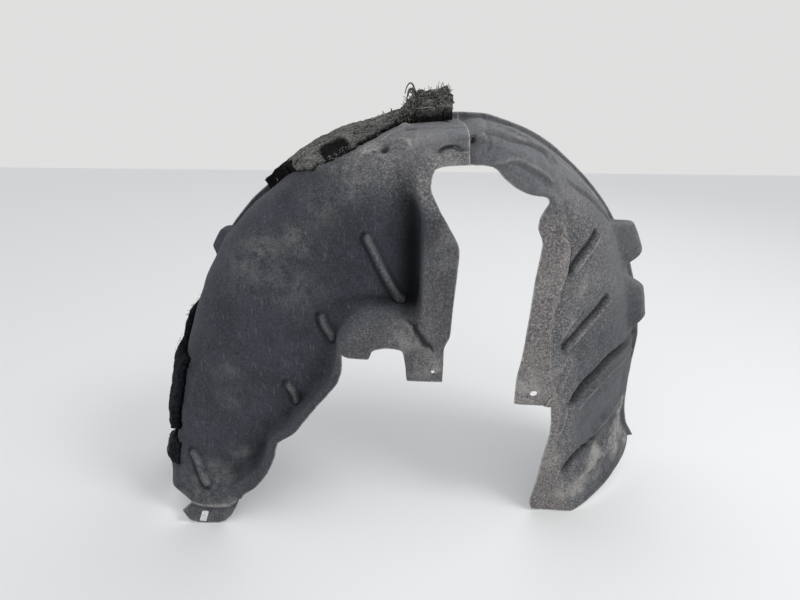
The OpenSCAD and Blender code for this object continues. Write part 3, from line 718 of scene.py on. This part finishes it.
def patchy(x, y, size, seed):
    """Smooth random field between -1 and 1 with lumps of the given size, from a seeded table."""
    table = np.random.default_rng(seed).uniform(-1, 1, (61, 61))
    x, y = np.broadcast_arrays(np.asarray(x, float) / size, np.asarray(y, float) / size)
    i, j = np.floor(x).astype(int), np.floor(y).astype(int)
    f, g = ease(x - i), ease(y - j)
    near = table[i % 61, j % 61] * (1 - f) + table[(i + 1) % 61, j % 61] * f
    far = table[i % 61, (j + 1) % 61] * (1 - f) + table[(i + 1) % 61, (j + 1) % 61] * f
    return near * (1 - g) + far * g


def lifted(u, v, height):
    """Points at the given height in mm above the skin at line u and place v, in the frame."""
    n = np.cross(skin(u, v + 0.002) - skin(u, v - 0.002), skin(u + 0.01, v) - skin(u - 0.01, v))
    n = n / np.linalg.norm(n, axis=-1, keepdims=True)
    return skin(u, v) + n * np.asarray(height)[..., None] + shift


def slab(first, final, back_edge, front_edge, under, over, ragged, relief, count, walls=8, shade=None):
    """Closed block lying on the skin from line `first` to line `final`. Its edges, `under` and `over` are
    functions of the line (and share across); its sides bulge and are torn by `ragged` mm."""
    def track(k):
        share = np.concatenate([np.zeros(walls), np.linspace(0, 1, k), np.ones(walls)])
        climb = np.linspace(0.05, 1, walls, endpoint=False)
        return share, np.concatenate([climb, np.ones(k), climb[::-1]])

    (a, wa), (b, wb) = track(count[0]), track(count[1])
    a, b = np.meshgrid(a, b, indexing="ij")
    wa, wb = np.meshgrid(wa, wb, indexing="ij")
    line = first + a * (final - first)
    back_v, front_v = back_edge(line), front_edge(line)
    along, over_mm = (line - first) * line_mm, b * (front_v - back_v) * place_mm
    w = np.minimum(wa, wb)
    tall = over(line, b) - under(line, b)
    torn = ragged(line)

    def push(side, near, climb, seed):
        """Outward shift of a side wall in mm: a soft bulge, with tears that change along it and up it."""
        out = 1.2 * (1 - climb) + torn * (patchy(near, climb * tall, 3.5, seed)
                                          + 0.8 * patchy(near, climb * tall * 3, 9, seed + 1))
        return np.where(climb < 1, np.where(side > 0.5, out, -out), 0)

    u = line + push(a, over_mm, wa, 3) / line_mm
    v = back_v + b * (front_v - back_v) + push(b, along, wb, 7) / place_mm
    height = under(line, b) + np.maximum(tall + relief(line, b, along, over_mm), 1.2) * w
    outer = lifted(u, v, height)
    share_a = np.linspace(0, 1, a.shape[0])[:, None] + 0 * b
    share_b = np.linspace(0, 1, a.shape[1])[None, :] + 0 * b
    low_line = first + share_a * (final - first)
    low_u = low_line.copy()
    low_v = back_edge(low_line) + share_b * (front_edge(low_line) - back_edge(low_line))
    for edge in (np.s_[0, :], np.s_[-1, :], np.s_[:, 0], np.s_[:, -1]):
        low_u[edge], low_v[edge] = u[edge], v[edge]
    inner = lifted(low_u, low_v, under(low_line, share_b))
    # painted shade: side walls darken towards the skin, the left end wall more, `shade` adds what it is
    # given, and the underside below is painted fully dark
    dark = (1 - w)**1.6 + 0.9 * ((a < 0.5) & (wa < 1)) + (shade(line, b) if shade else 0)
    values = {"dark": np.concatenate([dark.ravel(), np.ones(w.size)]),
              "flow_u": np.concatenate([along.ravel()] * 2), "flow_v": np.concatenate(
                  [(over_mm + (1 - w) * tall).ravel()] * 2)}
    return np.concatenate([outer.reshape(-1, 3), inner.reshape(-1, 3)]), sheet_faces(outer, inner), values


def strand(path, thick, seed):
    """Closed six-sided tube along a path, thinning to a third of its thickness at its free end."""
    sides, last_ring = 6, len(path) - 1
    ahead = np.gradient(path, axis=0)
    ahead /= np.linalg.norm(ahead, axis=1, keepdims=True)
    across_way = np.cross(ahead, [0.31, 0.89, 0.33])
    across_way /= np.linalg.norm(across_way, axis=1, keepdims=True)
    up_way = np.cross(ahead, across_way)
    turn = np.arange(sides) * 2 * math.pi / sides
    size = thick * (1 - 0.66 * np.linspace(0, 1, len(path)))[:, None, None] / 2
    rings = path[:, None] + size * (across_way[:, None] * np.cos(turn)[None, :, None]
                                    + up_way[:, None] * np.sin(turn)[None, :, None])
    i, k = np.meshgrid(np.arange(last_ring), np.arange(sides), indexing="ij")
    nxt = (k + 1) % sides
    tube = np.stack([i * sides + k, i * sides + nxt, (i + 1) * sides + nxt, (i + 1) * sides + k], -1)
    end = last_ring * sides
    caps = [[0, 3, 2, 1], [0, 5, 4, 3], [end, end + 1, end + 2, end + 3], [end, end + 3, end + 4, end + 5]]
    return rings.reshape(-1, 3), np.concatenate([tube.reshape(-1, 4), caps]), {
        "dark": 0.30 * ((seed * 0.618) % 1), "flow_u": seed * 7.3, "flow_v": seed * 3.1}


def frayed(seed, count, u_range, v_at, height_at, way, spread, lengths, thick, curl, steps=9, loop=False):
    """Strands with roots scattered over a stretch of the skin, each a curling path in about one way. A
    loop climbs, turns over and comes back down beside its root."""
    rng = np.random.default_rng(seed)
    strands = []
    for k in range(count):
        u = rng.uniform(*u_range)
        root = lifted(np.array(u), np.array(v_at(u, rng.uniform())), np.array(height_at(u, rng.uniform())))
        aim = np.asarray(way, float) + rng.normal(0, spread, 3)
        aim /= np.linalg.norm(aim)
        length = rng.uniform(*lengths)
        t = np.linspace(0, 1, steps)[:, None]
        side = np.cross(aim, rng.normal(0, 1, 3))
        side /= np.linalg.norm(side)
        bend = rng.uniform(-1, 1) * curl
        rise = np.sin(t * (1 + abs(bend))) / (1 + abs(bend))
        sway = bend * (1 - np.cos(t * (1.2 + 2 * abs(bend)))) / 2
        if loop:
            rise, sway = 0.62 * np.sin(2.7 * t), 0.36 * (1 - np.cos(2.9 * t)) / 2 * np.sign(bend)
            side = np.cross(aim, (0, 1, 0.2 * bend))
        path = (root + aim * length * rise + side * length * sway
                + np.cross(aim, side) * 0.06 * length * np.sin(t * rng.uniform(4, 9) + rng.uniform(0, 6)))
        strands.append(strand(path, rng.uniform(*thick), k + seed))
    return strands


def pad_paint(name, deep, body, pale, fleck, gloss):
    """Shoddy felt: streaks of matted fibre along the piece, dark between them, with pale flecks. `dark`
    lays painted shade on the cut and torn sides and on the underside, and a darker tone in places."""
    (_, node), (field, noise, ramp, blend, maths, finish) = new_paint(name, gloss, 0.06)
    flow = node("ShaderNodeCombineXYZ", X=maths("MULTIPLY", field("flow_u"), 0.05),
                Y=maths("MULTIPLY", field("flow_v"), 0.30)).outputs[0]
    streaks, fine = noise(1.0, 4, 0.62, flow), noise(2.7, 3, 0.62, flow)
    clumps, grit = noise(300, 3, 0.62), noise(900, 2, 0.62)
    colour = blend(ramp(streaks, 0.41, 0.58), deep, body)
    for value, low, high, share, over in (
            (fine, 0.50, 0.38, 0.75, deep), (fine, 0.53, 0.66, fleck * 0.7, pale),
            (clumps, 0.50, 0.38, 0.35, deep), (clumps, 0.54, 0.66, fleck * 0.5, pale),
            (grit, 0.55, 0.66, fleck * 0.8, pale), (field("dark"), 0.15, 0.85, 0.95, times(deep, 0.16))):
        colour = blend(maths("MULTIPLY", ramp(value, low, high), share), colour, over)
    relief = maths("ADD", maths("ADD", maths("MULTIPLY", streaks, 1.6), fine), maths("MULTIPLY", clumps, 0.5))
    return finish(colour, relief, 0.8, 0.0016)


pad_seat = 0.4                              # gap under a pad, in mm


def pad_front(u):
    """Place of the top pad's torn front edge at section line u, with small nicks."""
    at = (21.75, 22.5, 23.0, 23.75, 24.3, 24.7, 25.25, 25.7, 26.2, 26.7, 27.1, 27.7, 28.2, 28.6, 29.0, 29.4)
    place = (.12, .14, .17, .24, .307, .343, .35, .352, .362, .364, .362, .345, .317, .292, .258, .235)
    return (np.interp(u, at, place) + 0.006 * patchy(u * line_mm, 0, 7, 21)
            + 0.004 * patchy(u * line_mm, 5, 2.5, 22))


def pad_rise(u):
    """Height in mm by which the torn right end of the top pad has swollen above the rest."""
    return 23 * ease((u - 29.35) / 0.85)


top_pad = solid("top_pad_felt", [slab(
    21.75, 30.6, lambda u: 0.075 + 0.004 * patchy(u * line_mm, 0, 9, 31), pad_front,
    lambda u, b: pad_seat + 2.5 * ease((u - 29.6) / 0.8) + 0 * b,
    lambda u, b: (pad_seat + pad_rise(u) * (1 - 0.28 * ease((b - 0.5) / 0.5)) + 16.0 * (1 - (
        0.62 * ease((u - 23.2) / 1.0) * ease((29.6 - u) / 0.9) * ease((b - 0.42) / 0.55)))
        - 3 * np.exp(-((u - 30.2) / 0.2)**2) + 6 * np.exp(-((30.6 - u) / 0.13)**2)),
    lambda u: 0.8 + 2.0 * ease((u - 29.2) / 0.8),
    lambda u, b, x, y: (0.9 * patchy(x, y * 4, 26, 11) + 0.9 * patchy(x * 1.2, y, 7, 12)
                        + 1.1 * patchy(x * 0.16, y, 4.2, 15) + 0.6 * patchy(x * 0.2, y, 2.3, 16)
                        + (0.3 + 2.4 * ease((u - 29.2) / 0.8)) * (patchy(x * 0.3, y, 3.6, 13)
                                                                  + 0.7 * patchy(x, y, 2.6, 14))
                        - 12 * np.exp(-((u - 26.2) / 0.60)**2 - ((b - 0.98) / 0.26)**2)),
    # painted shadow: `shade` blackens the pocket under the lifted front edge near line 26.2; it also darkens
    # the front of the left end, and gives a stretch of the right half a darker tone
    (270, 76), shade=lambda u, b: (2.4 * np.exp(-((u - 26.2) / 0.62)**4 - ((b - 0.98) / 0.27)**4)
                                   + 1.8 * ease((24.1 - u) / 0.2) * ease((b - 0.6) / 0.14)
                                   + 0.42 * ease((u - 26.8) / 0.6) * ease((29.4 - u) / 0.4)
                                   * ease((b - 0.4) / 0.3))),
    # the tuft that stands up, its side strands, and the torn ends along the front, top and right
    *frayed(101, 7, (29.72, 29.95), lambda u, r: 0.17 + 0.08 * r, lambda u, r: pad_rise(u) * 0.7 + 6 + 8 * r,
            (0.0, -0.12, 1.0), 0.10, (28, 44), (3.6, 5.2), 0.5, 21, True),
    *frayed(111, 16, (29.72, 30.0), lambda u, r: 0.16 + 0.08 * r, lambda u, r: pad_rise(u) * 0.7 + 4 + 8 * r,
            (-0.05, -0.12, 1.0), 0.25, (18, 30), (1.6, 3.0), 1.2, 15),
    *frayed(202, 6, (29.72, 29.85), lambda u, r: 0.22 + 0.05 * r, lambda u, r: 12 + 5 * r,
            (-0.62, -0.1, 0.75), 0.12, (14, 22), (1.6, 2.6), 0.6),
    *frayed(303, 130, (29.2, 30.55), lambda u, r: pad_front(u) - 0.002 - 0.02 * r,
            lambda u, r: pad_rise(u) * 0.7 * r + 6 + 10 * r,
            (0.9, -0.4, 0.25), 0.4, (8, 22), (1.1, 2.2), 0.9),
    *frayed(404, 40, (30.48, 30.6), lambda u, r: 0.09 + 0.16 * r, lambda u, r: 26 + 18 * r,
            (0.0, -0.2, 0.9), 0.4, (4, 10), (1.0, 2.0), 0.9),
    *frayed(505, 120, (29.8, 30.5), lambda u, r: 0.08 + 0.17 * r, lambda u, r: pad_rise(u) + 12 + 0 * r,
            (0.9, -0.15, 0.2), 0.3, (10, 24), (1.2, 2.4), 0.7),
    *frayed(606, 30, (23.0, 29.4), lambda u, r: 0.08 + 0.24 * r, lambda u, r: 14.0 + 0 * r,
            (0.6, -0.3, 0.5), 0.5, (3, 8), (0.6, 1.1), 0.8),
    *frayed(808, 100, (24.2, 29.2), lambda u, r: pad_front(u) - 0.012 + 0.012 * r, lambda u, r: 2 + 5 * r,
            (0.5, -0.7, -0.2), 0.5, (3, 9), (0.6, 1.2), 0.8, 6),
    *frayed(707, 12, (28.3, 29.0), lambda u, r: 0.08 + 0.06 * r, lambda u, r: 15.0 + 0 * r,
            (0.1, 0.0, 0.9), 0.4, (5, 11), (1.2, 1.9), 0.8)])
top_pad.data.materials.append(pad_paint("pad_felt", (0.022, 0.022, 0.022), (0.150, 0.147, 0.134),
                                        (0.42, 0.41, 0.38), 0.85, 0.92))
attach(top_pad, "root")
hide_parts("top_pad")

black = pad_paint("pad_black", (0.004, 0.005, 0.007), (0.015, 0.017, 0.022), (0.13, 0.14, 0.15), 0.22, 0.8)
for name, node, first, final, edges, thick, seed in (
        ("side_pad_upper_felt", "side_pad_upper", 8.95, 11.05, (0.10, 0.235), 14.0, 40),
        ("side_pad_lower_felt", "side_pad_lower", 3.95, 8.6, (0.10, 0.345), 20.0, 60)):
    side_pad = solid(name, [slab(
        first, final, lambda u: edges[0] + 0.004 * patchy(u * line_mm, 1, 8, seed),
        lambda u: (edges[1] + 0.005 * patchy(u * line_mm, 2, 8, seed + 1)
                   + 0.004 * patchy(u * line_mm, 3, 3, seed + 2)),
        lambda u, b: pad_seat + 0 * u * b,
        lambda u, b: pad_seat + thick * (0.86 + 0.10 * patchy(u * line_mm, b * 40, 30, seed + 3))
        * (0.8 + 0.2 * ease(np.minimum(b, 1 - b) / 0.2)) * (0.75 + 0.25 * ease((final - u) / 0.5)),
        lambda u: 0.9 + 0 * u,
        lambda u, b, x, y: (0.7 * patchy(x, y, 9, seed + 4) + 0.5 * patchy(x, y, 3, seed + 5)
                            + 0.3 * patchy(x * 0.4, y, 2, seed + 6)),
        (int(38 * (final - first)), 50)),
        *frayed(seed + 7, 60, (first, final), lambda u, r: edges[1] - 0.004 + 0.006 * r,
                lambda u, r: 2 + (thick - 5) * r, (-0.2, -0.7, 0.3), 0.5, (2, 7), (0.4, 0.8), 0.8, 6),
        *frayed(seed + 8, 40, (final - 0.06, final + 0.02), lambda u, r: edges[0] + (edges[1] - edges[0]) * r,
                lambda u, r: 3 + (thick - 6) * r, (0.2, -0.2, 0.8), 0.5, (2, 7), (0.4, 0.8), 0.8, 6)])
    side_pad.data.materials.append(black)
    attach(side_pad, "root")
    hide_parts(node)

# ---------------------------------------------------------------- the wad of foam
# A torn wad of black foam rubber is pushed against the leg below the pads. It is lumpy, with a slight
# shine on its bitumen-like skin, and stays where it is by its glue.


def lumps(x, y):
    """Relief of the foam in mm: rounded lumps 8 to 12 mm wide with tight creases between them."""
    coarse, small = np.abs(patchy(x, y, 9, 81)), np.abs(patchy(x, y, 4.5, 82))
    return 3.2 * np.sqrt(coarse) + 1.2 * np.sqrt(small) + 0.4 * patchy(x, y, 1.8, 83) - 3.0


foam_wad = solid("foam_wad_lumps", [slab(
    2.35, 3.3, lambda u: 0.262 + 0.006 * patchy(u * line_mm, 1, 8, 85),
    lambda u: 0.376 + 0.035 * ease((3.3 - u) / 0.95) + 0.012 * patchy(u * line_mm, 2, 9, 86),
    lambda u, b: pad_seat + 0 * u * b,
    lambda u, b: pad_seat + 10.5 * (0.45 + 0.55 * ease(np.minimum(b, 1 - b) / 0.3)
                               * ease(np.minimum(u - 2.3, 3.35 - u) / 0.3)),
    lambda u: 1.3 + 0 * u, lambda u, b, x, y: lumps(x, y), (70, 64))])
foam_wad.data.materials.append(pad_paint("foam_black", (0.003, 0.003, 0.004), (0.010, 0.010, 0.012),
                                         (0.10, 0.10, 0.11), 0.2, 0.35))
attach(foam_wad, "root")
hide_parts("foam_wad")

# ---------------------------------------------------------------- the sticker on the foot
# A small paper sticker on the foot plate, bare of its printing, scuffed and lifting at one corner.
corners = np.array([[(-343.1, 4.2), (-337.0, 21.5)], [(-332.6, 3.1), (-326.3, 22.2)]])
s, t = np.meshgrid(np.linspace(0, 1, 25), np.linspace(0, 1, 29), indexing="ij")
label_xz = ((corners[0, 0] * (1 - s[..., None]) + corners[1, 0] * s[..., None]) * (1 - t[..., None])
            + (corners[0, 1] * (1 - s[..., None]) + corners[1, 1] * s[..., None]) * t[..., None])
foot = (plate_outer + shift).reshape(-1, 3)
gap = np.linalg.norm(foot[None, :, [0, 2]] - label_xz.reshape(-1, 1, 2), axis=-1)
weight = 1 / (gap**2 + 0.5)**2
label_y = ((weight * foot[None, :, 1]).sum(1) / weight.sum(1)).reshape(s.shape)
label_y = label_y - 0.35 - 1.6 * ease((s + t - 1.55) / 0.45) - 0.12 * patchy(s * 10, t * 12, 2.5, 91)
label_front = np.stack([label_xz[..., 0], label_y, label_xz[..., 1]], -1)
label_back = label_front + [0, 0.18, 0]
label = solid("label_sheet", [(np.concatenate([label_front.reshape(-1, 3), label_back.reshape(-1, 3)]),
                               sheet_faces(label_front, label_back), {})])
_, (_, noise, ramp, blend, _, finish) = new_paint("label_paper", 0.62, 0.5)
scuffs = noise(420, 4, 0.5)
label.data.materials.append(finish(
    blend(ramp(scuffs, 0.50, 0.72, "LINEAR"), (0.74, 0.74, 0.72), (0.34, 0.33, 0.31)), scuffs, 1.0, 0.0002))
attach(label, "root")
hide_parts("label")
